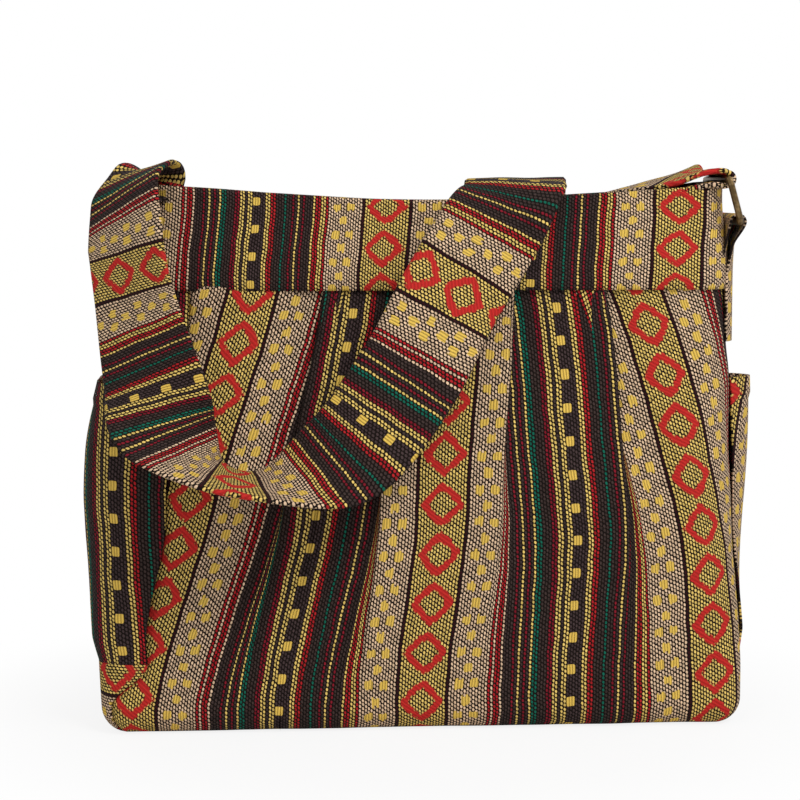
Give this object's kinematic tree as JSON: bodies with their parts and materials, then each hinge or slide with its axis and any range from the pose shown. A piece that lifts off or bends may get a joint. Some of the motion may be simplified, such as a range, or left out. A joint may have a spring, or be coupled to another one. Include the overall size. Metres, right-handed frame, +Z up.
{
  "type": "woven shoulder bag",
  "caption": "Boxy striped woven cotton shoulder bag with pleated front, top band, side pockets and a wide cloth strap on a brass ring.",
  "frame": {"origin": "on the floor under the middle of the base", "axes": "+Z up, +X to the right seen from the front, +Y to the back"},
  "size_m": [0.3995, 0.2293, 0.3346],
  "materials": {
    "front_cloth": "matt woven cotton",
    "body_cloth": "matt woven cotton",
    "side_cloth": "matt woven cotton",
    "base_cloth": "matt woven cotton",
    "band_cloth": "matt woven cotton",
    "strap_cloth": "matt woven cotton",
    "lining": "plain dark cotton",
    "brass": "antique brass, worn at the bends"
  },
  "bodies": {
    "bag": {"front_body_panel": "front_cloth", "back_body_panel": "body_cloth", "left_gusset": "side_cloth", "right_gusset": "side_cloth", "base_strip": "base_cloth", "front_top_band": "band_cloth", "back_top_band": "band_cloth", "left_side_pocket": "side_cloth", "right_side_pocket": "side_cloth", "lining": "lining", "shoulder_strap": "strap_cloth", "ring_tab": "strap_cloth"},
    "ring": {"strap_ring": "brass"}
  },
  "joints": [
    {"name": "ring_swing", "type": "hinge", "parent": "bag", "child": "ring", "pos_m": [0.18812, 0, 0.294], "axis": [0, 1, 0], "range_deg": [0, 75], "deforming": ["shoulder_strap"]}
  ]
}
